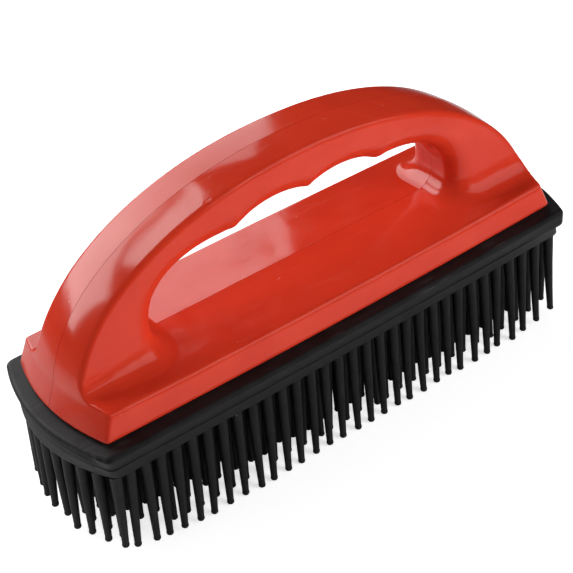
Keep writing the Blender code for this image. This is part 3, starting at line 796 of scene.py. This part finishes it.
def pin_pad():
    """The pad and its pins in one skin: the pad's underside is filled round the pins' roots."""
    mesh_data = bmesh.new()
    made = looped_skin(mesh_data, pad_rings(), closed=False)
    mesh_data.faces.new(made[0])
    borders = [edge for edge in mesh_data.edges if len(edge.link_faces) == 1]
    for root, tip, bend in pin_places():
        rings = looped_skin(mesh_data, pin_rings(root, tip, bend), closed=False)
        mesh_data.faces.new(rings[-1])
        loop = rings[0]
        borders += [mesh_data.edges.get((a, b)) for a, b in zip(loop, loop[1:] + loop[:1])]
    bmesh.ops.triangle_fill(mesh_data, use_beauty=True, edges=borders, normal=(0, 0, -1))
    bmesh.ops.recalc_face_normals(mesh_data, faces=mesh_data.faces)
    item = link_mesh("rubber_pad", mesh_data)
    item.data.shade_smooth()
    item.data.set_sharp_from_angle(angle=math.radians(45))
    return item


stand_in(pin_pad(), "pin_pad", BLACK_RUBBER)


# The stage: floor, lights and camera.

FLOOR_HALF_SIZE = 2000       # mm

# The painted pool of light that shows in reflections of the floor: its middle, and where it starts and ends
# fading, in metres.
PAINTED_POOL_CENTRE = (0.0, 0.08, 0.0)
PAINTED_POOL_FADE = (0.17, 0.34)
PAINTED_POOL_OUTSIDE = 0.06          # how light the floor is beyond the pool

CAMERA_AZIMUTH = math.radians(-34.433)
CAMERA_ELEVATION = math.radians(36.994)
CAMERA_ROLL = math.radians(-5.147)
CAMERA_DISTANCE = 0.42508    # metres from its target
CAMERA_TARGET = (4.75, 12.30, PAD_BOTTOM)    # mm
CAMERA_LENS = 94.35


def area_light(name, place, target, size, power):
    """A rectangular lamp that faces its target: metres and watts."""
    data = bpy.data.lights.new(name, "AREA")
    data.shape = "RECTANGLE"
    data.size, data.size_y = size
    data.energy = power
    item = bpy.data.objects.new(name, data)
    item.location = place
    item.rotation_euler = (Vector(target) - Vector(place)).to_track_quat("-Z", "Y").to_euler()
    bpy.context.scene.collection.objects.link(item)
    return item


def fade_to_the_right(light):
    """Make the softbox dimmer towards its right end."""
    light.use_nodes = True
    tree = light.node_tree
    where = add_node(tree, "ShaderNodeNewGeometry")
    along = add_node(tree, "ShaderNodeSeparateXYZ")
    tree.links.new(where.outputs["Position"], along.inputs["Vector"])
    strength = ramp(tree, along.outputs["X"], -0.35, 0.3, 1.0, 0.45)
    tree.links.new(strength, tree.nodes["Emission"].inputs["Strength"])


def floor_material():
    """White, and in reflections a painted pool of light behind the brush that fades out to the sides, with
    the floor painted dark beyond it.
    """
    made, tree, shader = new_material("pale_floor")
    shader.inputs["Roughness"].default_value = 0.8
    shader.inputs["Specular IOR Level"].default_value = 0.1
    where = add_node(tree, "ShaderNodeNewGeometry")
    away = add_node(tree, "ShaderNodeVectorMath", operation="DISTANCE")
    away.inputs[1].default_value = PAINTED_POOL_CENTRE
    tree.links.new(where.outputs["Position"], away.inputs[0])
    # Painted pool of light: glossy rays see the floor light near the pool's middle and painted dark beyond
    # it.
    fade = ramp(tree, away.outputs["Value"], *PAINTED_POOL_FADE, 1.0, PAINTED_POOL_OUTSIDE)
    ray = add_node(tree, "ShaderNodeLightPath")
    painted_pool_lightness = add_node(tree, "ShaderNodeMix", data_type="FLOAT")
    painted_pool_lightness.inputs["A"].default_value = 1.0
    tree.links.new(ray.outputs["Is Glossy Ray"], painted_pool_lightness.inputs["Factor"])
    tree.links.new(fade, painted_pool_lightness.inputs["B"])
    colour = mix_colour(tree, painted_pool_lightness.outputs["Result"], (0.0, 0.0, 0.0), (0.92, 0.92, 0.92))
    tree.links.new(colour, shader.inputs["Base Color"])
    glow = add_node(tree, "ShaderNodeMapRange")
    glow.inputs["To Max"].default_value = 0.7
    tree.links.new(ray.outputs["Is Camera Ray"], glow.inputs["Value"])
    tree.links.new(glow.outputs["Result"], shader.inputs["Emission Strength"])
    shader.inputs["Emission Color"].default_value = (1, 1, 1, 1)
    return made


def floor():
    """A plain floor, wide enough to fill every view."""
    mesh_data = bmesh.new()
    bmesh.ops.create_grid(mesh_data, x_segments=4, y_segments=4, size=FLOOR_HALF_SIZE)
    item = link_mesh("floor", mesh_data)
    item.data.materials.append(floor_material())


def camera():
    """A long lens that looks down at the brush's near left corner."""
    target = Vector(CAMERA_TARGET) * MM
    right = Vector((math.cos(CAMERA_AZIMUTH), math.sin(CAMERA_AZIMUTH), 0))
    level_back = Vector((right.y, -right.x, 0))
    back = level_back * math.cos(CAMERA_ELEVATION) + Vector((0, 0, math.sin(CAMERA_ELEVATION)))
    up = back.cross(right)
    rolled_right = right * math.cos(CAMERA_ROLL) + up * math.sin(CAMERA_ROLL)
    rolled_up = back.cross(rolled_right)
    data = bpy.data.cameras.new("camera")
    data.sensor_width = 36
    data.lens = CAMERA_LENS
    data.clip_start = 0.01
    item = bpy.data.objects.new("camera", data)
    turn = Matrix((rolled_right, rolled_up, back)).transposed().to_4x4()
    item.matrix_world = Matrix.Translation(target + back * CAMERA_DISTANCE) @ turn
    bpy.context.scene.collection.objects.link(item)
    bpy.context.scene.camera = item


def world():
    """A pale surround for the camera, and a dim one for the light."""
    made = bpy.data.worlds.new("studio")
    made.use_nodes = True
    tree = made.node_tree
    ray = add_node(tree, "ShaderNodeLightPath")
    strength = add_node(tree, "ShaderNodeMapRange")
    strength.inputs["To Min"].default_value = 0.08
    strength.inputs["To Max"].default_value = 0.9
    tree.links.new(ray.outputs["Is Camera Ray"], strength.inputs["Value"])
    tree.links.new(strength.outputs["Result"], tree.nodes["Background"].inputs["Strength"])
    bpy.context.scene.world = made


floor()
camera()
world()
back_softbox = area_light("back_softbox", (-0.305, 0.9, 0.665), (-0.305, 0, 0.665), (1.69, 0.79), 19.5)
fade_to_the_right(back_softbox.data)
area_light("front_softbox", (0.6, -0.85, 0.68), (0, 0, 0.06), (0.9, 0.7), 1.9)
area_light("front_fill", (0.4, -0.75, 0.3), (0.03, 0, 0.06), (0.5, 0.5), 5.1).visible_glossy = False
area_light("upper_softbox", (-0.3, 0.9, 1.4), (-0.3, 0, 1.4), (0.8, 0.5), 6.0)
area_light("left_fill", (-0.85, 0.0, 0.5), (0, 0, 0.06), (0.5, 0.5), 1.3).visible_glossy = False
bpy.context.scene.view_settings.view_transform = "Standard"
